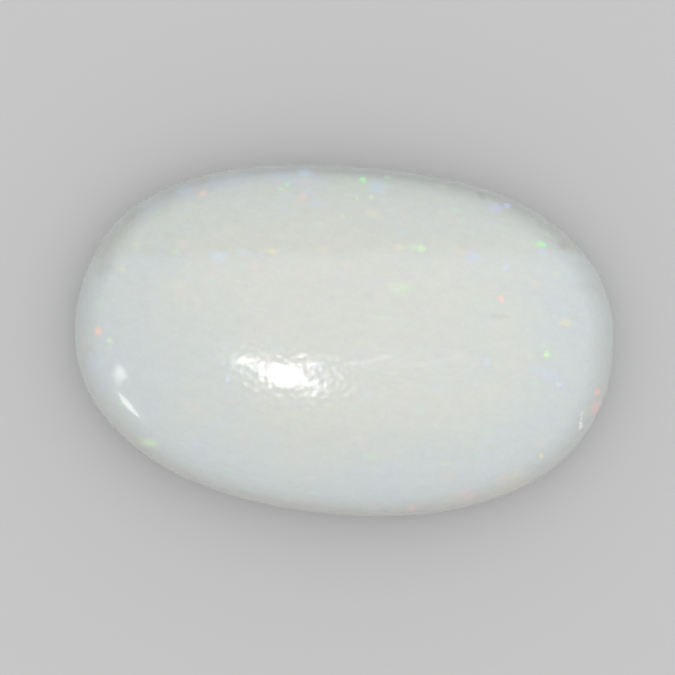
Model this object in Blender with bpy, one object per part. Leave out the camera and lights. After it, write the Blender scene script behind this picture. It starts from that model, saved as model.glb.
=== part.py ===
"""A polished white opal: one oval, domed stone, cut as a cabochon with a flat ground back.

The stone lies on its back. X runs along its length, Y across it, and Z up through the crown. The
origin is in the plane of the back, under the middle of the stone. All sizes are in metres.
"""

import math

import bmesh
import bpy
from mathutils import Vector

MM = 0.001

# Driving dimensions
LENGTH = 18.0 * MM
WIDTH = 11.64 * MM
THICKNESS = 5.2 * MM
GIRDLE_HEIGHT = 1.4 * MM  # how far the widest line stands above the back

# The oval, seen from above
SQUARENESS = 2.3  # 2 is an ellipse, and more is squarer at the corners
LOBE = 0.0096  # the oval is very slightly three-cornered, as one ground by hand is
LOBE_TURN = math.radians(40.0)
# Stretches of the rim that were ground a little deeper: their turn, half angle and depth
RIM_FLATS = (
    (math.radians(65.0), math.radians(22.0), 0.05 * MM),
    (math.radians(168.0), math.radians(14.0), 0.10 * MM),
    (math.radians(208.0), math.radians(14.0), 0.04 * MM),
    (math.radians(346.0), math.radians(12.0), 0.03 * MM),
)

# The section, from the crown over the girdle to the back
DOME_FULLNESS = 2.1  # 2 is an elliptical dome, and more is flatter on top with steeper shoulders
BACK_EDGE = math.radians(114.0)  # the polar angle at which the side meets the flat back

# The facets of the solid
SEGMENTS = 96
RINGS = 30  # one of them falls on the girdle and one on the back's edge

OPAL_WHITE = (0.686, 0.700, 0.650, 1.0)
POLISH_ROUGHNESS = 0.12
OPAL_INDEX = 1.45  # of refraction

SHARP_EDGE = math.radians(28.0)  # only the back's edge is sharper than this


def ground_away(turn):
    """How deep the rim's flats are in this direction."""
    depth = 0.0
    for middle, half_angle, most in RIM_FLATS:
        off = abs((turn - middle + math.pi) % math.tau - math.pi)
        if off < half_angle:
            depth += most * (1.0 + math.cos(math.pi * off / half_angle)) / 2.0
    return depth


def oval_radius(turn):
    """The distance from the stone's middle to its girdle in this direction."""
    along = abs(math.cos(turn)) / (LENGTH / 2.0)
    across = abs(math.sin(turn)) / (WIDTH / 2.0)
    oval = (along**SQUARENESS + across**SQUARENESS) ** (-1.0 / SQUARENESS)
    return oval * (1.0 + LOBE * math.cos(3.0 * (turn - LOBE_TURN))) - ground_away(turn)


def section(polar):
    """The share of the oval and the height reached at this angle from the crown."""
    power = 2.0 / DOME_FULLNESS
    if polar <= math.pi / 2.0:
        rise = max(math.cos(polar), 0.0) ** power
        return math.sin(polar) ** power, GIRDLE_HEIGHT + (THICKNESS - GIRDLE_HEIGHT) * rise
    side_depth = GIRDLE_HEIGHT / math.sin(BACK_EDGE - math.pi / 2.0)
    if polar <= BACK_EDGE:
        below = polar - math.pi / 2.0
        return math.cos(below), GIRDLE_HEIGHT - side_depth * math.sin(below)
    inwards = (math.pi - polar) / (math.pi - BACK_EDGE)
    return math.cos(BACK_EDGE - math.pi / 2.0) * inwards, 0.0


def stone_point(direction):
    """Where a point of the unit ball lies on the stone."""
    polar = math.acos(max(-1.0, min(1.0, direction.z)))
    turn = math.atan2(direction.y, direction.x)
    share, height = section(polar)
    reach = oval_radius(turn) * share
    return Vector((reach * math.cos(turn), reach * math.sin(turn), height))


def centre_on_origin(points):
    """Moves the points so that their box is centred over the origin in X and Y."""
    middle_x = (min(p.x for p in points) + max(p.x for p in points)) / 2.0
    middle_y = (min(p.y for p in points) + max(p.y for p in points)) / 2.0
    return [p - Vector((middle_x, middle_y, 0.0)) for p in points]


def polished_opal():
    """White potch-bodied opal with a high polish."""
    material = bpy.data.materials.new("polished_white_opal")
    material.use_nodes = True
    shader = material.node_tree.nodes["Principled BSDF"]
    shader.inputs["Base Color"].default_value = OPAL_WHITE
    shader.inputs["Roughness"].default_value = POLISH_ROUGHNESS
    shader.inputs["Metallic"].default_value = 0.0
    shader.inputs["IOR"].default_value = OPAL_INDEX
    return material


def make_stone(collection):
    """Shapes a ball of even rings into the stone."""
    shape = bmesh.new()
    bmesh.ops.create_uvsphere(shape, u_segments=SEGMENTS, v_segments=RINGS, radius=1.0)
    shape.verts.ensure_lookup_table()
    placed = centre_on_origin([stone_point(vertex.co) for vertex in shape.verts])
    for vertex, point in zip(shape.verts, placed):
        vertex.co = point
    bmesh.ops.recalc_face_normals(shape, faces=shape.faces)
    mesh = bpy.data.meshes.new("opal_stone")
    shape.to_mesh(mesh)
    shape.free()
    mesh.shade_smooth()
    mesh.set_sharp_from_angle(angle=SHARP_EDGE)
    stone = bpy.data.objects.new("opal_stone", mesh)
    stone.data.materials.append(polished_opal())
    collection.objects.link(stone)
    return stone


def clear_scene():
    for thing in list(bpy.data.objects):
        bpy.data.objects.remove(thing)


def main():
    clear_scene()
    collection = bpy.data.collections.new("opal_cabochon")
    bpy.context.scene.collection.children.link(collection)
    make_stone(collection)


main()
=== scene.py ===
import math

import bpy
from mathutils import Matrix, Vector


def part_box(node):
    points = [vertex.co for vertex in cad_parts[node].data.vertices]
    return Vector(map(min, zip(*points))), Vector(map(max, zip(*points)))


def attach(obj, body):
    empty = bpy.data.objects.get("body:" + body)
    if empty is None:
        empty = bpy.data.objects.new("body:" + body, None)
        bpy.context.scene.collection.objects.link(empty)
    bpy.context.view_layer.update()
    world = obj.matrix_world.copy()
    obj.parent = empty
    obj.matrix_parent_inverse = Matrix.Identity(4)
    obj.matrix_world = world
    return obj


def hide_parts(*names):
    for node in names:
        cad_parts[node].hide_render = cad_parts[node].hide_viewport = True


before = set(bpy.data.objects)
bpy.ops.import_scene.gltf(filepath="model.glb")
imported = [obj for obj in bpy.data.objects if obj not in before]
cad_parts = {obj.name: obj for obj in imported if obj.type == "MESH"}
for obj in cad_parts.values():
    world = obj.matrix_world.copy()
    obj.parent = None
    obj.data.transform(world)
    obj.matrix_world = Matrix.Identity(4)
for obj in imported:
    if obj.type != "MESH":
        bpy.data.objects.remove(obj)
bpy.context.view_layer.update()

MM = 0.001

# The stone: a solid white opal, sawn from rough, ground on a wheel to an oval dome with a flat back, and
# polished with a soft pad. It is one piece, and it lies loose on its back.
GIRDLE_HEIGHT = 1.4 * MM
SQUARENESS, DOME_FULLNESS = 2.3, 2.1  # the powers of the oval and of the section, where an ellipse has 2
stone_low, stone_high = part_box("opal_stone")
LENGTH = stone_high.x - stone_low.x
WIDTH = stone_high.y - stone_low.y
THICKNESS = stone_high.z - stone_low.z


def linear(hex_colour):
    """An sRGB colour such as "d8dbd4", as the linear values that a shader takes."""
    parts = [int(hex_colour[i : i + 2], 16) / 255.0 for i in (0, 2, 4)]
    return (*[c / 12.92 if c <= 0.04045 else ((c + 0.055) / 1.055) ** 2.4 for c in parts], 1.0)


def add(tree, kind, settings=None, inputs=None):
    """Adds a node with its settings. An input is a value, or the output that feeds it."""
    node = tree.nodes.new(kind)
    for name, value in (settings or {}).items():
        setattr(node, name, value)
    for key, value in (inputs or {}).items():
        if isinstance(value, bpy.types.NodeSocket):
            tree.links.new(value, node.inputs[key])
        else:
            node.inputs[key].default_value = value
    return node


# Polished white opal. Its body is packed silica spheres, so it is milky, a little greenish on the crown
# and cooler towards the girdle, and the grains that are packed evenly send back faint colours of their
# own. All sizes and places in the material are in millimetres.
COLOUR_A, COLOUR_B, MIXED = 6, 7, 2  # a Mix node's two inputs for colours, and its output for them
opal = bpy.data.materials.new("polished_white_opal")
opal.use_nodes = True
tree = opal.node_tree
tree.nodes.clear()
place = add(tree, "ShaderNodeTexCoord").outputs["Object"]
mm = add(tree, "ShaderNodeVectorMath", {"operation": "SCALE"}, {0: place, "Scale": 1.0 / MM}).outputs[0]
mm_ways = add(tree, "ShaderNodeSeparateXYZ", {}, {0: mm}).outputs
mm_along, mm_up = mm_ways["X"], mm_ways["Z"]

# A greener white on the crown gives way to a cooler one towards the girdle, with clouds along the change
CROWN_WHITE, COOL_WHITE = "dadcd7", "d3dada"
CLOUD_SIZE, CLOUD_REACH = 4.0, 1.2
COOL_FROM, COOL_FULL = 0.9, 1.6  # how far out with the clouds added, where the rim is at 1
oval_place = add(tree, "ShaderNodeVectorMath", {"operation": "MULTIPLY"},
                 {0: place, 1: (2.0 / LENGTH, 2.0 / WIDTH, 0.0)}).outputs[0]
outwards = add(tree, "ShaderNodeVectorMath", {"operation": "LENGTH"}, {0: oval_place}).outputs["Value"]
clouds = add(tree, "ShaderNodeTexNoise", {},
             {"Vector": mm, "Scale": 1.0 / CLOUD_SIZE, "Detail": 3.0, "Roughness": 0.6}).outputs[0]
clouded = add(tree, "ShaderNodeMath", {"operation": "MULTIPLY_ADD"},
              {0: clouds, 1: CLOUD_REACH, 2: outwards}).outputs[0]
coolness = add(tree, "ShaderNodeMapRange", {"interpolation_type": "SMOOTHSTEP"},
               {"Value": clouded, "From Min": COOL_FROM, "From Max": COOL_FULL}).outputs[0]
body = add(tree, "ShaderNodeMix", {"data_type": "RGBA"},
           {"Factor": coolness, COLOUR_A: linear(CROWN_WHITE), COLOUR_B: linear(COOL_WHITE)}).outputs[MIXED]

# Behind a nearly straight seam near the back rim the colour is browner and darker. It is a little weaker to
# the right.
SEAM_BAND_BROWN = "d0d2ca"
ACROSS_SEAM = (-0.0875, 1.0, 0.0)
SEAM_FRONT, SEAM_BACK = 2.85, 3.35
WOBBLES_PER_MM, SEAM_WOBBLE = 0.6, 0.5
BAND_STRONG, BAND_WEAK = 0.50, 0.40
STRONG_PLACE, WEAK_PLACE = 0.0, 6.0  # along the stone
across_seam = add(tree, "ShaderNodeVectorMath", {"operation": "DOT_PRODUCT"},
                  {0: mm, 1: ACROSS_SEAM}).outputs["Value"]
wobble = add(tree, "ShaderNodeTexNoise", {},
             {"Vector": mm, "Scale": WOBBLES_PER_MM, "Detail": 2.0}).outputs[0]
seam_line = add(tree, "ShaderNodeMath", {"operation": "MULTIPLY_ADD"},
                {0: wobble, 1: SEAM_WOBBLE, 2: across_seam}).outputs[0]
beyond_seam = add(tree, "ShaderNodeMapRange", {"interpolation_type": "SMOOTHSTEP"},
                  {"Value": seam_line, "From Min": SEAM_FRONT, "From Max": SEAM_BACK}).outputs[0]
fading = add(tree, "ShaderNodeMapRange", {"interpolation_type": "SMOOTHSTEP"},
             {"Value": mm_along, "From Min": WEAK_PLACE, "From Max": STRONG_PLACE,
              "To Min": BAND_WEAK, "To Max": BAND_STRONG}).outputs[0]
beyond_seam = add(tree, "ShaderNodeMath", {"operation": "MULTIPLY"}, {0: beyond_seam, 1: fading}).outputs[0]
body = add(tree, "ShaderNodeMix", {"data_type": "RGBA"},
           {"Factor": beyond_seam, COLOUR_A: body, COLOUR_B: linear(SEAM_BAND_BROWN)}).outputs[MIXED]

# Painted shade: the colour darkens towards the girdle and on the side below it, in place of the light that
# falls off at the rim. It is least at the ends, most past the seam, and half as much down at the back. Its
# tint is warm in front and cool behind, painted for the light that gets through the thin edge.
RIM_SHADE_FRONT, RIM_SHADE_BEHIND = "aaa08f", "989f9d"
SHADE_BELOW, FULL_SHADE_BELOW = 3.4, 2.2
DARKENING, MOST_DARKENING = 0.36, 0.50
PAST_SEAM = 1.7  # the seam band's strength times this is how much of itself the painted shade gains
AT_ENDS, MORE_AT_SIDES = 0.8, 0.35
AT_BACK, BACK_BELOW = 0.5, 0.1
HUE_REACH = 0.9  # in half widths of the stone
rim_shade = add(tree, "ShaderNodeMapRange", {"interpolation_type": "SMOOTHSTEP"},
               {"Value": mm_up, "From Min": SHADE_BELOW, "From Max": FULL_SHADE_BELOW,
                "To Max": DARKENING}).outputs[0]
past_seam = add(tree, "ShaderNodeMath", {"operation": "MULTIPLY_ADD"},
                {0: beyond_seam, 1: PAST_SEAM, 2: 1.0}).outputs[0]
rim_shade = add(tree, "ShaderNodeMath", {"operation": "MULTIPLY"}, {0: rim_shade, 1: past_seam}).outputs[0]
rim_shade = add(tree, "ShaderNodeMath", {"operation": "MINIMUM"}, {0: rim_shade, 1: MOST_DARKENING}).outputs[0]
backward = add(tree, "ShaderNodeSeparateXYZ", {}, {0: oval_place}).outputs["Y"]
sides = add(tree, "ShaderNodeMath", {"operation": "MULTIPLY"}, {0: backward, 1: backward}).outputs[0]
sides = add(tree, "ShaderNodeMath", {"operation": "MULTIPLY_ADD"},
            {0: sides, 1: MORE_AT_SIDES, 2: AT_ENDS}).outputs[0]
rim_shade = add(tree, "ShaderNodeMath", {"operation": "MULTIPLY"}, {0: rim_shade, 1: sides}).outputs[0]
over_back = add(tree, "ShaderNodeMapRange", {"interpolation_type": "SMOOTHSTEP"},
                {"Value": mm_up, "From Min": BACK_BELOW, "From Max": GIRDLE_HEIGHT / MM,
                 "To Min": AT_BACK}).outputs[0]
rim_shade = add(tree, "ShaderNodeMath", {"operation": "MULTIPLY"}, {0: rim_shade, 1: over_back}).outputs[0]
behind = add(tree, "ShaderNodeMapRange", {},
             {"Value": backward, "From Min": -HUE_REACH, "From Max": HUE_REACH}).outputs[0]
rim_shade_colour = add(tree, "ShaderNodeMix", {"data_type": "RGBA"},
                {"Factor": behind, COLOUR_A: linear(RIM_SHADE_FRONT),
                 COLOUR_B: linear(RIM_SHADE_BEHIND)}).outputs[MIXED]
# The painted rim shade is laid over the body colour
body = add(tree, "ShaderNodeMix", {"data_type": "RGBA"},
           {"Factor": rim_shade, COLOUR_A: body, COLOUR_B: rim_shade_colour}).outputs[MIXED]

# The grains that give the faint overall speckle are up to 0.8 mm long, drawn out along the stone
GRAINS_PER_MM = (1.3, 2.2, 2.0)
FINE_GRAINS = 1.8  # how many times finer the milky grains are than the coloured ones
COLOURED_SHARE, MILKY_SHARE = 0.16, 0.33
grain_place = add(tree, "ShaderNodeMapping", {}, {"Vector": mm, "Scale": GRAINS_PER_MM}).outputs[0]
grains = add(tree, "ShaderNodeTexNoise", {},
             {"Vector": grain_place, "Scale": 1.0, "Detail": 5.0, "Roughness": 0.75}).outputs["Color"]
body = add(tree, "ShaderNodeMix", {"data_type": "RGBA", "blend_type": "SOFT_LIGHT"},
           {"Factor": COLOURED_SHARE, COLOUR_A: body, COLOUR_B: grains}).outputs[MIXED]
milkiness = add(tree, "ShaderNodeTexNoise", {},
                {"Vector": grain_place, "Scale": FINE_GRAINS, "Detail": 5.0, "Roughness": 0.9}).outputs[0]
body = add(tree, "ShaderNodeMix", {"data_type": "RGBA", "blend_type": "SOFT_LIGHT"},
           {"Factor": MILKY_SHARE, COLOUR_A: body, COLOUR_B: milkiness}).outputs[MIXED]

# Faint flecks of colour are scattered all through: cells about 0.8 mm long, of which half light up, some
# more than others. A fine noise pushes their edges to and fro by up to half the fray, so they are ragged.
CELLS_PER_MM = (1.3, 2.4, 2.0)
CELL_EDGE, CELL_CORE = 0.50, 0.05  # in cells, from the middle
CELLS_UNLIT, CELL_GLOW = 0.5, 0.16
FRAYS_PER_MM, FRAY = 6.5, 0.22
SPECTRUM_START, SPECTRUM_END = "d0dcff", "ffd4cc"
SPECTRUM_BETWEEN = ((0.3, "ccf4ff"), (0.5, "ccffcc"), (0.7, "ecffc8"), (0.85, "ffecc8"))
fray = add(tree, "ShaderNodeTexNoise", {},
           {"Vector": mm, "Scale": FRAYS_PER_MM, "Detail": 2.0}).outputs["Color"]
ragged = add(tree, "ShaderNodeVectorMath", {"operation": "MULTIPLY_ADD"},
             {0: fray, 1: (FRAY, FRAY, 0.0), 2: mm}).outputs[0]
ragged = add(tree, "ShaderNodeVectorMath", {"operation": "SUBTRACT"},
             {0: ragged, 1: (FRAY / 2.0, FRAY / 2.0, 0.0)}).outputs[0]
cell_place = add(tree, "ShaderNodeMapping", {}, {"Vector": ragged, "Scale": CELLS_PER_MM}).outputs[0]
cells = add(tree, "ShaderNodeTexVoronoi", {}, {"Vector": cell_place, "Scale": 1.0}).outputs
chance = add(tree, "ShaderNodeSeparateColor", {}, {0: cells["Color"]}).outputs
spectrum = add(tree, "ShaderNodeValToRGB", {}, {"Fac": chance["Red"]})
spectrum.color_ramp.elements[0].color = linear(SPECTRUM_START)
spectrum.color_ramp.elements[1].color = linear(SPECTRUM_END)
for share, colour in SPECTRUM_BETWEEN:
    spectrum.color_ramp.elements.new(share).color = linear(colour)
fleck = add(tree, "ShaderNodeMapRange", {"interpolation_type": "SMOOTHSTEP"},
            {"Value": cells["Distance"], "From Min": CELL_EDGE, "From Max": CELL_CORE}).outputs[0]
lit = add(tree, "ShaderNodeMapRange", {},
          {"Value": chance["Green"], "From Min": CELLS_UNLIT, "From Max": 1.0,
           "To Max": CELL_GLOW}).outputs[0]
lit = add(tree, "ShaderNodeMath", {"operation": "MULTIPLY"}, {0: lit, 1: fleck}).outputs[0]
body = add(tree, "ShaderNodeMix", {"data_type": "RGBA"},
           {"Factor": lit, COLOUR_A: body, COLOUR_B: spectrum.outputs["Color"]}).outputs[MIXED]


def dome_place(x_mm, y_mm):
    """The point of the dome over this place, in millimetres."""
    along, across = 2.0 * x_mm * MM / LENGTH, 2.0 * y_mm * MM / WIDTH
    share = (abs(along) ** SQUARENESS + abs(across) ** SQUARENESS) ** (1.0 / SQUARENESS)
    rise = (THICKNESS - GIRDLE_HEIGHT) / MM
    z_mm = GIRDLE_HEIGHT / MM + rise * max(1.0 - share**DOME_FULLNESS, 0.0) ** (1.0 / DOME_FULLNESS)
    return Vector((x_mm, y_mm, z_mm))


# The flecks that stand out, and the flaws, by colour: place, half length, how many times longer than wide,
# turn in degrees, and how much of the colour shows. The white pair is a painted glint near the right end,
# and the grey ones are a dash of clay on the crown and smudges at the rim.
FLECKS_AND_GLINT = {
    "c0ffc0": (
        (0.22, 5.33, 0.11, 1.0, 0, 1.00), (6.24, 3.66, 0.15, 1.5, 0, 0.95),
        (6.00, 3.69, 0.12, 2.0, 0, 0.30), (-2.45, 4.80, 0.10, 1.5, 0, 0.55),
        (-2.27, 4.96, 0.07, 1.0, 0, 0.55), (1.04, 5.50, 0.14, 1.5, 0, 0.30),
        (-6.48, 3.71, 0.24, 2.0, 30, 0.25), (-7.16, -2.68, 0.12, 1.0, 0, 0.25),
        (6.46, 3.99, 0.16, 2.0, -20, 0.20), (0.00, 5.15, 0.90, 3.0, 0, 0.09),
        (-8.17, 0.52, 0.14, 1.0, 0, 0.18),
    ),
    "dcffcc": (
        (6.69, 0.07, 0.11, 1.0, 0, 0.85), (2.28, 3.19, 0.13, 1.0, 0, 0.60),
        (2.02, 3.22, 0.26, 3.0, 0, 0.30), (1.73, 1.85, 0.42, 2.0, 0, 0.25),
        (-6.16, -3.90, 0.30, 2.0, 0, 0.50), (-7.68, -0.63, 0.11, 1.0, 0, 0.55),
        (6.12, -0.04, 0.11, 1.0, 0, 0.20), (0.07, 4.70, 0.07, 1.0, 0, 0.35),
        (0.54, 4.77, 0.07, 1.0, 0, 0.45),
    ),
    "d4d8ff": (
        (5.05, 4.83, 0.13, 1.0, 0, 0.95), (4.68, 4.76, 0.25, 1.5, 0, 0.50),
        (-1.62, 4.73, 0.11, 1.0, 0, 0.45), (-7.85, -2.20, 0.30, 1.5, 60, 0.15),
        (-2.29, 4.13, 0.20, 1.5, 0, 0.18), (-5.67, 4.51, 0.24, 2.0, 30, 0.20),
    ),
    "cce0ff": (
        (-1.71, 5.42, 0.26, 1.5, 0, 0.55), (0.73, 5.13, 0.28, 1.0, 0, 0.34),
        (-8.13, -1.46, 0.36, 1.0, 0, 0.20), (6.72, -0.57, 0.36, 2.0, -20, 0.24),
        (4.01, 3.05, 0.26, 1.5, 0, 0.30), (-5.50, 4.50, 0.50, 2.0, 30, 0.15),
        (-4.20, 4.95, 0.90, 3.0, 15, 0.20), (-6.60, 3.90, 0.60, 2.0, 30, 0.18),
        (-2.00, 5.20, 1.10, 4.0, 0, 0.22), (-1.29, 4.44, 0.20, 1.0, 0, 0.22),
        (6.30, 3.41, 0.15, 1.0, 0, 0.35),
    ),
    "dceaff": (
        (-3.67, -1.56, 0.10, 1.0, 0, 1.00), (-4.29, 2.43, 0.30, 2.0, 0, 0.40),
        (-3.51, 2.58, 0.24, 2.0, 0, 0.35), (4.72, -0.34, 0.11, 1.0, 0, 0.45),
        (5.08, 2.78, 0.12, 1.0, 0, 0.50), (7.17, -0.90, 0.12, 1.5, 0, 0.55),
    ),
    # a painted glint, standing in for a lamp's small reflection near the right end
    "ffffff": (
        (8.05, -2.20, 0.14, 2.0, 90, 0.85), (8.06, -1.94, 0.20, 3.0, 90, 0.35),
    ),
    "ffd8c8": (
        (-8.11, -0.33, 0.13, 1.0, 0, 0.80), (5.02, 1.75, 0.12, 1.0, 0, 0.60),
        (-5.02, 4.48, 0.12, 1.0, 0, 0.50), (-1.71, 4.59, 0.14, 1.0, 0, 0.30),
        (-1.76, 5.17, 0.24, 3.0, 0, 0.25), (-3.08, 2.16, 0.20, 2.0, 0, 0.30),
        (3.53, 3.18, 0.24, 3.0, 0, 0.25), (-5.49, 2.75, 0.26, 1.5, 0, 0.14),
        (5.60, -4.15, 0.24, 2.0, 30, 0.20), (6.11, 2.37, 0.16, 2.0, 0, 0.18),
    ),
    "ffccc4": (
        (8.54, -1.05, 0.13, 1.0, 0, 0.65), (8.56, -1.55, 0.26, 1.5, 60, 0.55),
        (4.44, -4.81, 0.44, 2.0, 0, 0.20), (4.62, -4.81, 0.12, 1.0, 0, 0.34),
        (2.69, -5.36, 0.16, 1.5, 0, 0.40),
    ),
    "fff0c0": (
        (6.83, -3.30, 0.09, 1.0, 0, 0.60), (-2.57, 2.72, 0.20, 2.0, 0, 0.32),
        (1.59, 3.18, 0.16, 1.5, 0, 0.30), (5.90, -4.45, 0.75, 2.0, 30, 0.10),
        (0.64, 4.21, 0.23, 1.5, 0, 0.20), (-0.38, 4.07, 0.09, 1.0, 0, 0.25),
        (6.03, -3.99, 0.20, 2.0, 30, 0.20), (6.80, 2.72, 0.14, 1.5, 0, 0.20),
        (7.21, 1.14, 0.24, 2.0, 0, 0.30), (-7.48, 1.77, 0.12, 1.0, 0, 0.32),
        (-7.08, 2.61, 0.18, 1.5, 0, 0.16), (-5.56, 1.42, 0.30, 1.5, 0, 0.12),
    ),
    "9a9b94": (
        (5.03, 1.19, 0.34, 3.0, 0, 0.15), (4.16, 5.12, 0.18, 2.0, -45, 0.45),
        (6.97, 3.68, 0.22, 2.0, -45, 0.26), (7.93, 2.36, 0.44, 2.0, 0, 0.09),
        (-8.10, 1.82, 0.45, 1.5, 60, 0.20), (-7.34, 3.59, 0.36, 2.0, 30, 0.20),
        (-6.39, 3.81, 0.40, 2.0, 30, 0.12),
    ),
}
FLECK_EDGE, FLECK_CORE = 1.6, 0.1  # in half lengths
FLECK_HEIGHT = 3.0  # a fleck reaches this many half lengths up and down, as the dome is steep under some
squeezed = {}  # the place, turned and squeezed for each kind of fleck so that it is round there
for colour, places in FLECKS_AND_GLINT.items():
    most = 0.0
    for x_mm, y_mm, half_length, stretch, turn, strength in places:
        if (stretch, turn) not in squeezed:
            squeezed[stretch, turn] = add(tree, "ShaderNodeMapping", {"vector_type": "TEXTURE"},
                                          {"Vector": ragged, "Rotation": (0.0, 0.0, math.radians(turn)),
                                           "Scale": (1.0, 1.0 / stretch, FLECK_HEIGHT)}).outputs[0]
        turned = Matrix.Rotation(math.radians(-turn), 3, "Z") @ dome_place(x_mm, y_mm)
        middle = (turned.x, stretch * turned.y, turned.z / FLECK_HEIGHT)
        away = add(tree, "ShaderNodeVectorMath", {"operation": "DISTANCE"},
                   {0: squeezed[stretch, turn], 1: middle}).outputs["Value"]
        shows = add(tree, "ShaderNodeMapRange", {"interpolation_type": "SMOOTHSTEP"},
                    {"Value": away, "From Min": FLECK_EDGE * half_length,
                     "From Max": FLECK_CORE * half_length, "To Max": strength}).outputs[0]
        most = add(tree, "ShaderNodeMath", {"operation": "MAXIMUM"}, {0: shows, 1: most}).outputs[0]
    body = add(tree, "ShaderNodeMix", {"data_type": "RGBA"},
               {"Factor": most, COLOUR_A: body, COLOUR_B: linear(colour)}).outputs[MIXED]

# Polishing lays a smooth skin of flowed silica over the ground stone. Under it the grain keeps an orange
# peel, 0.2 mm from crest to crest, that frays a light's edge. The peel is deepest on the crown, where the
# pad bears least. The back is only lapped: it has fine streaks and no such skin, so it is satin.
PEEL_SIZE, PEEL_DEPTH = 0.20, 0.013
PEEL_SHIFT = (10.0, 3.0, 0.0)
PEEL_FULL, PEEL_FADED = 0.4, 0.8  # how far out, where the rim is at 1
RIM_PEEL = 0.03  # the share of the peel that the rim keeps
LAPPING_SIZE, LAPPING_DEPTH = 0.08, 0.004
LAPPING_TURN, LAPPING_ALONG = 0.6, 0.1  # the streaks are drawn out ten times
BACK_FROM, BACK_FULL = 0.16, 0.04  # the heights between which the polish ends
OPAL_IOR = 1.45
POLISHED, LAPPED, SKIN_ROUGHNESS = 0.17, 0.38, 0.07
GLOW_DEPTH, GLOW_SPREAD = 0.6, (1.0, 0.85, 0.7)
peel_place = add(tree, "ShaderNodeMapping", {}, {"Vector": mm, "Location": PEEL_SHIFT}).outputs[0]
peel = add(tree, "ShaderNodeTexNoise", {},
           {"Vector": peel_place, "Scale": 1.0 / PEEL_SIZE, "Detail": 0.0}).outputs[0]
peel_depth = add(tree, "ShaderNodeMapRange", {"interpolation_type": "SMOOTHSTEP"},
                 {"Value": outwards, "From Min": PEEL_FULL, "From Max": PEEL_FADED,
                  "To Min": PEEL_DEPTH, "To Max": RIM_PEEL * PEEL_DEPTH}).outputs[0]
peel = add(tree, "ShaderNodeMath", {"operation": "MULTIPLY"}, {0: peel, 1: peel_depth}).outputs[0]
lapping_place = add(tree, "ShaderNodeMapping", {},
                    {"Vector": mm, "Rotation": (0.0, 0.0, LAPPING_TURN),
                     "Scale": (LAPPING_ALONG, 1.0, 1.0)}).outputs[0]
lapping = add(tree, "ShaderNodeTexNoise", {},
              {"Vector": lapping_place, "Scale": 1.0 / LAPPING_SIZE, "Detail": 2.0}).outputs[0]
lapping = add(tree, "ShaderNodeMath", {"operation": "MULTIPLY"}, {0: lapping, 1: LAPPING_DEPTH}).outputs[0]
on_back = add(tree, "ShaderNodeMapRange", {"interpolation_type": "SMOOTHSTEP"},
              {"Value": mm_up, "From Min": BACK_FROM, "From Max": BACK_FULL}).outputs[0]
relief = add(tree, "ShaderNodeMix", {"data_type": "FLOAT"}, {0: on_back, 2: peel, 3: lapping}).outputs[0]
surface = add(tree, "ShaderNodeBump", {}, {"Height": relief, "Strength": 1.0, "Distance": MM}).outputs[0]
gloss = add(tree, "ShaderNodeMapRange", {},
            {"Value": on_back, "To Min": POLISHED, "To Max": LAPPED}).outputs[0]
skin = add(tree, "ShaderNodeMapRange", {}, {"Value": on_back, "To Min": 1.0, "To Max": 0.0}).outputs[0]
shader = add(tree, "ShaderNodeBsdfPrincipled", {"subsurface_method": "RANDOM_WALK"},
             {"Base Color": body, "Normal": surface, "Roughness": gloss, "IOR": OPAL_IOR,
              "Subsurface Weight": 1.0, "Subsurface Radius": GLOW_SPREAD,
              "Subsurface Scale": GLOW_DEPTH * MM,
              "Coat Weight": skin, "Coat Roughness": SKIN_ROUGHNESS, "Coat IOR": OPAL_IOR})
add(tree, "ShaderNodeOutputMaterial", {}, {"Surface": shader.outputs[0]})

# The stone's shape: an even mesh on a ball, whose points are moved to the oval and the section. Grinding
# by hand left the oval very slightly three-cornered, with a few flatter stretches: where, how far each
# way, and how deep. The pad left slow waves, and there is one small chip in the rim.
LOBE, LOBE_TURN = 0.0096, math.radians(40.0)
RIM_FLATS = (
    (math.radians(65.0), math.radians(22.0), 0.05 * MM),
    (math.radians(168.0), math.radians(14.0), 0.10 * MM),
    (math.radians(208.0), math.radians(14.0), 0.04 * MM),
    (math.radians(346.0), math.radians(12.0), 0.03 * MM),
)
BACK_EDGE = math.radians(114.0)  # from the top of the ball
BACK_EDGE_ROUNDING = 0.12 * MM
WAVE_HEIGHT, WAVE_LENGTH = 0.006 * MM, 1.8 * MM
CHIP_PLACE = Vector((-7.70, 3.59, 1.4)) * MM
CHIP_RADIUS, CHIP_DEPTH = 0.16 * MM, 0.05 * MM
POINTS_ACROSS, POINTS_UP = 160, 64
shape = bpy.data.node_groups.new("opal_cabochon", "GeometryNodeTree")
shape.interface.new_socket(name="Geometry", in_out="OUTPUT", socket_type="NodeSocketGeometry")
SIZES = {
    "Length": LENGTH, "Width": WIDTH, "Thickness": THICKNESS, "Girdle Height": GIRDLE_HEIGHT,
    "Squareness": SQUARENESS, "Lobe": LOBE, "Lobe Turn": LOBE_TURN, "Dome Fullness": DOME_FULLNESS,
    "Back Edge": BACK_EDGE, "Back Edge Rounding": BACK_EDGE_ROUNDING,
    "Wave Height": WAVE_HEIGHT, "Wave Length": WAVE_LENGTH,
    "Chip Radius": CHIP_RADIUS, "Chip Depth": CHIP_DEPTH,
}
sockets = {name: shape.interface.new_socket(name=name, in_out="INPUT", socket_type="NodeSocketFloat")
           for name in SIZES}
given = add(shape, "NodeGroupInput").outputs
ball = add(shape, "GeometryNodeMeshCube", {},
           {"Size": (2.0, 2.0, 2.0), "Vertices X": POINTS_ACROSS, "Vertices Y": POINTS_ACROSS,
            "Vertices Z": POINTS_UP})
even = add(shape, "ShaderNodeVectorMath", {"operation": "SCALE"},
           {0: add(shape, "GeometryNodeInputPosition").outputs[0], "Scale": math.pi / 4.0}).outputs[0]
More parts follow.
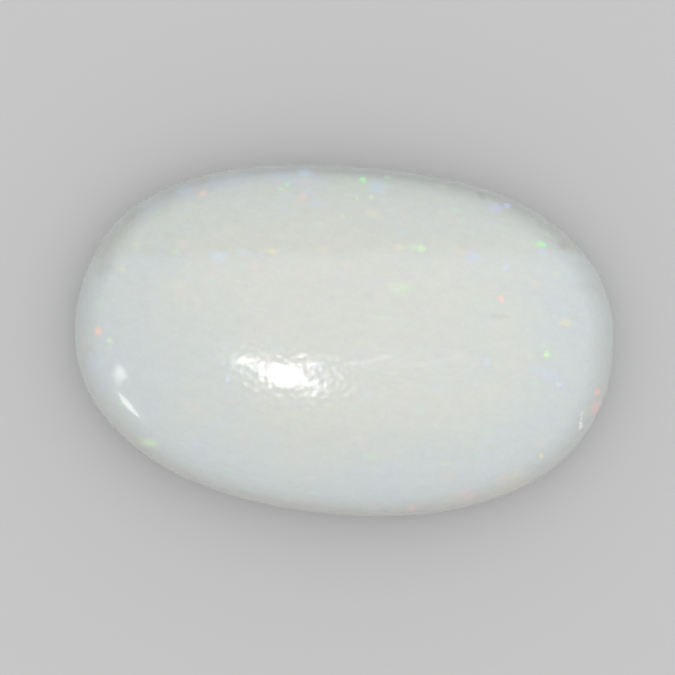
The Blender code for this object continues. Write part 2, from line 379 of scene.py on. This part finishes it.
even = add(shape, "ShaderNodeVectorMath", {"operation": "TANGENT"}, {0: even}).outputs[0]
even = add(shape, "ShaderNodeVectorMath", {"operation": "NORMALIZE"}, {0: even}).outputs[0]
ways = add(shape, "ShaderNodeSeparateXYZ", {}, {0: even}).outputs
turn = add(shape, "ShaderNodeMath", {"operation": "ARCTAN2"}, {0: ways["Y"], 1: ways["X"]}).outputs[0]

# The oval, as a distance from the middle in each direction
squares = []
for size, wave in (("Length", "COSINE"), ("Width", "SINE")):
    part = add(shape, "ShaderNodeMath", {"operation": wave}, {0: turn}).outputs[0]
    part = add(shape, "ShaderNodeMath", {"operation": "DIVIDE"}, {0: part, 1: given[size]}).outputs[0]
    part = add(shape, "ShaderNodeMath", {"operation": "MULTIPLY"}, {0: part, 1: 2.0}).outputs[0]
    part = add(shape, "ShaderNodeMath", {"operation": "ABSOLUTE"}, {0: part}).outputs[0]
    part = add(shape, "ShaderNodeMath", {"operation": "POWER"}, {0: part, 1: given["Squareness"]}).outputs[0]
    squares.append(part)
oval = add(shape, "ShaderNodeMath", {"operation": "ADD"}, {0: squares[0], 1: squares[1]}).outputs[0]
root = add(shape, "ShaderNodeMath", {"operation": "DIVIDE"}, {0: -1.0, 1: given["Squareness"]}).outputs[0]
oval = add(shape, "ShaderNodeMath", {"operation": "POWER"}, {0: oval, 1: root}).outputs[0]
lobe = add(shape, "ShaderNodeMath", {"operation": "SUBTRACT"}, {0: turn, 1: given["Lobe Turn"]}).outputs[0]
lobe = add(shape, "ShaderNodeMath", {"operation": "MULTIPLY"}, {0: lobe, 1: 3.0}).outputs[0]
lobe = add(shape, "ShaderNodeMath", {"operation": "COSINE"}, {0: lobe}).outputs[0]
lobe = add(shape, "ShaderNodeMath", {"operation": "MULTIPLY_ADD"},
           {0: lobe, 1: given["Lobe"], 2: 1.0}).outputs[0]
oval = add(shape, "ShaderNodeMath", {"operation": "MULTIPLY"}, {0: oval, 1: lobe}).outputs[0]
for middle, half_angle, depth in RIM_FLATS:
    off = add(shape, "ShaderNodeMath", {"operation": "SUBTRACT"}, {0: turn, 1: middle}).outputs[0]
    off = add(shape, "ShaderNodeMath", {"operation": "WRAP"}, {0: off, 1: math.pi, 2: -math.pi}).outputs[0]
    off = add(shape, "ShaderNodeMath", {"operation": "ABSOLUTE"}, {0: off}).outputs[0]
    off = add(shape, "ShaderNodeMapRange", {"interpolation_type": "SMOOTHSTEP"},
              {"Value": off, "From Min": half_angle, "From Max": 0.0, "To Max": depth}).outputs[0]
    oval = add(shape, "ShaderNodeMath", {"operation": "SUBTRACT"}, {0: oval, 1: off}).outputs[0]

# The section: a nearly elliptical dome over the girdle, and a side that tucks in to the flat back
bow = add(shape, "ShaderNodeMath", {"operation": "DIVIDE"}, {0: 2.0, 1: given["Dome Fullness"]}).outputs[0]
upward = add(shape, "ShaderNodeMath", {"operation": "MAXIMUM"}, {0: ways["Z"], 1: 0.0}).outputs[0]
rise = add(shape, "ShaderNodeMath", {"operation": "POWER"}, {0: upward, 1: bow}).outputs[0]
crown = add(shape, "ShaderNodeMath", {"operation": "SUBTRACT"},
            {0: given["Thickness"], 1: given["Girdle Height"]}).outputs[0]
rise = add(shape, "ShaderNodeMath", {"operation": "MULTIPLY"}, {0: rise, 1: crown}).outputs[0]
downward = add(shape, "ShaderNodeMath", {"operation": "MINIMUM"}, {0: ways["Z"], 1: 0.0}).outputs[0]
edge = add(shape, "ShaderNodeMath", {"operation": "COSINE"}, {0: given["Back Edge"]}).outputs[0]
drop = add(shape, "ShaderNodeMath", {"operation": "DIVIDE"}, {0: downward, 1: edge}).outputs[0]
drop = add(shape, "ShaderNodeMath", {"operation": "MULTIPLY"},
           {0: drop, 1: given["Girdle Height"]}).outputs[0]
side = add(shape, "ShaderNodeMath", {"operation": "SUBTRACT"},
           {0: given["Girdle Height"], 1: drop}).outputs[0]
side = add(shape, "ShaderNodeMath", {"operation": "SMOOTH_MAX"},
           {0: side, 1: 0.0, 2: given["Back Edge Rounding"]}).outputs[0]
height = add(shape, "ShaderNodeMath", {"operation": "ADD"}, {0: side, 1: rise}).outputs[0]
level = add(shape, "ShaderNodeMath", {"operation": "MULTIPLY"}, {0: ways["Z"], 1: ways["Z"]}).outputs[0]
level = add(shape, "ShaderNodeMath", {"operation": "SUBTRACT"}, {0: 1.0, 1: level}).outputs[0]
level = add(shape, "ShaderNodeMath", {"operation": "SQRT"}, {0: level}).outputs[0]
full = add(shape, "ShaderNodeMath", {"operation": "POWER"}, {0: level, 1: bow}).outputs[0]
above = add(shape, "ShaderNodeMath", {"operation": "GREATER_THAN"}, {0: ways["Z"], 1: 0.0}).outputs[0]
share = add(shape, "ShaderNodeMix", {"data_type": "FLOAT"}, {0: above, 2: level, 3: full}).outputs[0]
reach = add(shape, "ShaderNodeMath", {"operation": "MULTIPLY"}, {0: oval, 1: share}).outputs[0]
x = add(shape, "ShaderNodeMath", {"operation": "COSINE"}, {0: turn}).outputs[0]
x = add(shape, "ShaderNodeMath", {"operation": "MULTIPLY"}, {0: x, 1: reach}).outputs[0]
y = add(shape, "ShaderNodeMath", {"operation": "SINE"}, {0: turn}).outputs[0]
y = add(shape, "ShaderNodeMath", {"operation": "MULTIPLY"}, {0: y, 1: reach}).outputs[0]
shaped = add(shape, "ShaderNodeCombineXYZ", {}, {0: x, 1: y, 2: height}).outputs[0]
stone = add(shape, "GeometryNodeSetPosition", {}, {0: ball.outputs[0], "Position": shaped}).outputs[0]

# The pad's slow waves and the chip on the rim, both along the surface's own direction
where = add(shape, "GeometryNodeInputPosition").outputs[0]
per_wave = add(shape, "ShaderNodeMath", {"operation": "DIVIDE"}, {0: 1.0, 1: given["Wave Length"]}).outputs[0]
waves = add(shape, "ShaderNodeTexNoise", {}, {"Vector": where, "Scale": per_wave, "Detail": 1.0}).outputs[0]
waves = add(shape, "ShaderNodeMath", {"operation": "SUBTRACT"}, {0: waves, 1: 0.5}).outputs[0]
waves = add(shape, "ShaderNodeMath", {"operation": "MULTIPLY"},
            {0: waves, 1: given["Wave Height"]}).outputs[0]
from_chip = add(shape, "ShaderNodeVectorMath", {"operation": "DISTANCE"},
                {0: where, 1: CHIP_PLACE}).outputs["Value"]
chip = add(shape, "ShaderNodeMapRange", {"interpolation_type": "SMOOTHSTEP"},
           {"Value": from_chip, "From Min": given["Chip Radius"], "From Max": 0.0,
            "To Max": given["Chip Depth"]}).outputs[0]
outward = add(shape, "ShaderNodeMath", {"operation": "SUBTRACT"}, {0: waves, 1: chip}).outputs[0]
lifted = add(shape, "ShaderNodeVectorMath", {"operation": "SCALE"},
             {0: add(shape, "GeometryNodeInputNormal").outputs[0], "Scale": outward}).outputs[0]
stone = add(shape, "GeometryNodeSetPosition", {}, {0: stone, "Offset": lifted}).outputs[0]

# The finished stone fills the solid's box exactly. The inputs 6 to 10 of this Map Range are the place, and
# the corners of the box before and after.
box = add(shape, "GeometryNodeBoundBox", {}, {0: stone})
fitted = add(shape, "ShaderNodeMapRange", {"data_type": "FLOAT_VECTOR"},
             {6: add(shape, "GeometryNodeInputPosition").outputs[0], 7: box.outputs["Min"],
              8: box.outputs["Max"], 9: stone_low, 10: stone_high}).outputs[1]
stone = add(shape, "GeometryNodeSetPosition", {}, {0: stone, "Position": fitted}).outputs[0]
stone = add(shape, "GeometryNodeSetShadeSmooth", {}, {0: stone}).outputs[0]
stone = add(shape, "GeometryNodeRealizeInstances", {}, {0: stone}).outputs[0]
stone = add(shape, "GeometryNodeSetMaterial", {}, {0: stone, "Material": opal}).outputs[0]
add(shape, "NodeGroupOutput", {}, {0: stone})

blank = bpy.data.objects.new("opal_blank", bpy.data.meshes.new("opal_blank"))
bpy.context.scene.collection.objects.link(blank)
cutting = blank.modifiers.new("opal_cabochon", "NODES")
cutting.node_group = shape
for name, size in SIZES.items():
    cutting[sockets[name].identifier] = size
cut = bpy.data.meshes.new_from_object(blank.evaluated_get(bpy.context.evaluated_depsgraph_get()))
bpy.data.objects.remove(blank)
opal_stone = bpy.data.objects.new("opal_dome", cut)
bpy.context.scene.collection.objects.link(opal_stone)
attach(opal_stone, "root")
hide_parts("opal_stone")

# The floor: a sheet of plain pale grey card, 3 m across, that the stone lies on
FLOOR_HALF = 1.5
card = bpy.data.materials.new("matt_grey_card")
card.use_nodes = True
card_shader = card.node_tree.nodes["Principled BSDF"]
card_shader.inputs["Base Color"].default_value = linear("c6c6c6")
card_shader.inputs["Roughness"].default_value = 0.9
floor_mesh = bpy.data.meshes.new("floor")
floor_mesh.from_pydata([(-FLOOR_HALF, -FLOOR_HALF, 0.0), (FLOOR_HALF, -FLOOR_HALF, 0.0),
                        (FLOOR_HALF, FLOOR_HALF, 0.0), (-FLOOR_HALF, FLOOR_HALF, 0.0)], [], [(0, 1, 2, 3)])
floor_mesh.materials.append(card)
floor = bpy.data.objects.new("floor", floor_mesh)
bpy.context.scene.collection.objects.link(floor)

# The camera looks straight down, with the stone turned a little clockwise under it
CAMERA_HEIGHT = 150.0 * MM
PHOTO_PIXELS, PIXELS_PER_MM = 675, 29.93
SENSOR = 36.0
AIM_X, AIM_Y = -0.212 * MM, 0.073 * MM
STONE_TURN = math.radians(4.507)
camera_data = bpy.data.cameras.new("camera")
camera_data.sensor_width = SENSOR
camera_data.lens = SENSOR * CAMERA_HEIGHT / (PHOTO_PIXELS / PIXELS_PER_MM * MM)
camera_data.clip_start, camera_data.clip_end = 0.01, 10.0
camera = bpy.data.objects.new("camera", camera_data)
camera.location = Vector((AIM_X, AIM_Y, CAMERA_HEIGHT + GIRDLE_HEIGHT))
camera.rotation_euler = (0.0, 0.0, STONE_TURN)
bpy.context.scene.collection.objects.link(camera)
bpy.context.scene.camera = camera

# The light: a pale studio, brightest overhead, and small lamps placed so that the dome mirrors each one
# to the camera between two chosen places, in millimetres
BRIGHTEST = Vector((0.26, 0.27, 1.0)).normalized()
SIDE_LIGHT, OVERHEAD_LIGHT = 0.815, 1.20
NARROWING = 2.0  # the power by which the overhead light falls off
LAMP_DISTANCE = 0.4  # metres
studio = bpy.data.worlds.new("studio")
studio.use_nodes = True
sky = studio.node_tree
sky.nodes.clear()
way = add(sky, "ShaderNodeTexCoord").outputs["Generated"]
overhead = add(sky, "ShaderNodeVectorMath", {"operation": "DOT_PRODUCT"},
               {0: way, 1: BRIGHTEST}).outputs["Value"]
overhead = add(sky, "ShaderNodeMath", {"operation": "MAXIMUM"}, {0: overhead, 1: 0.0}).outputs[0]
overhead = add(sky, "ShaderNodeMath", {"operation": "POWER"}, {0: overhead, 1: NARROWING}).outputs[0]
glow = add(sky, "ShaderNodeMapRange", {},
           {"Value": overhead, "To Min": SIDE_LIGHT, "To Max": OVERHEAD_LIGHT}).outputs[0]
glow = add(sky, "ShaderNodeBackground", {}, {"Color": linear("ffffff"), "Strength": glow}).outputs[0]
add(sky, "ShaderNodeOutputWorld", {}, {"Surface": glow})
bpy.context.scene.world = studio


def mirrored_way(x_mm, y_mm):
    """The dome's point at this place, and the direction from there that it mirrors to the camera."""
    step = 0.01
    middle = dome_place(x_mm, y_mm)
    slope_x = (dome_place(x_mm + step, y_mm).z - middle.z) / step
    slope_y = (dome_place(x_mm, y_mm + step).z - middle.z) / step
    normal = Vector((-slope_x, -slope_y, 1.0)).normalized()
    to_camera = (camera.location - middle * MM).normalized()
    return middle * MM, 2.0 * to_camera.dot(normal) * normal - to_camera


def lamp(name, first, last, breadth, radiance):
    """A long lamp that the dome mirrors to the camera from its first place to its last."""
    ends = [point + way * LAMP_DISTANCE for point, way in (mirrored_way(*first), mirrored_way(*last))]
    middle = (ends[0] + ends[1]) / 2.0
    outward = middle.normalized()
    along = ends[1] - ends[0]
    along = (along - along.dot(outward) * outward).normalized()
    data = bpy.data.lights.new(name, "AREA")
    data.shape, data.size, data.size_y = "ELLIPSE", (ends[1] - ends[0]).length, breadth
    data.energy = radiance * math.pi * (math.pi / 4.0 * data.size * data.size_y)
    light = bpy.data.objects.new(name, data)
    light.matrix_world = Matrix((along, outward.cross(along), outward)).transposed().to_4x4()
    light.location = middle
    light.visible_camera = False
    light.visible_diffuse = False  # it only glints, and the sky does the lighting
    bpy.context.scene.collection.objects.link(light)


lamp("key_lamp", (-2.45, -1.40), (-1.28, -1.36), 0.060, 17.0)
lamp("key_glow", (-3.40, -0.90), (-0.90, -1.66), 0.036, 4.5)
lamp("key_corner", (-3.42, -1.03), (-3.16, -1.08), 0.024, 12.0)
lamp("key_top", (-1.46, -0.72), (-1.30, -0.72), 0.012, 17.0)
lamp("key_right", (-1.30, -0.95), (-0.80, -0.93), 0.014, 12.0)
lamp("key_low", (-1.05, -1.66), (-0.72, -1.54), 0.022, 4.5)
lamp("key_foot", (-1.27, -1.94), (-0.97, -1.90), 0.018, 5.5)
lamp("strip", (-0.28, -0.92), (1.87, -0.33), 0.006, 3.5)
lamp("second_strip", (1.55, -0.83), (4.15, -0.25), 0.006, 2.0)
lamp("window", (-7.22, -2.54), (-6.55, -3.26), 0.042, 4.2)
lamp("left_lamp", (-7.40, -1.78), (-7.06, -1.80), 0.055, 3.4)
lamp("left_glow", (-7.49, -2.00), (-7.22, -2.04), 0.060, 1.8)

# The picture shows its colours as they are, without a film's curve
bpy.context.scene.view_settings.view_transform = "Standard"
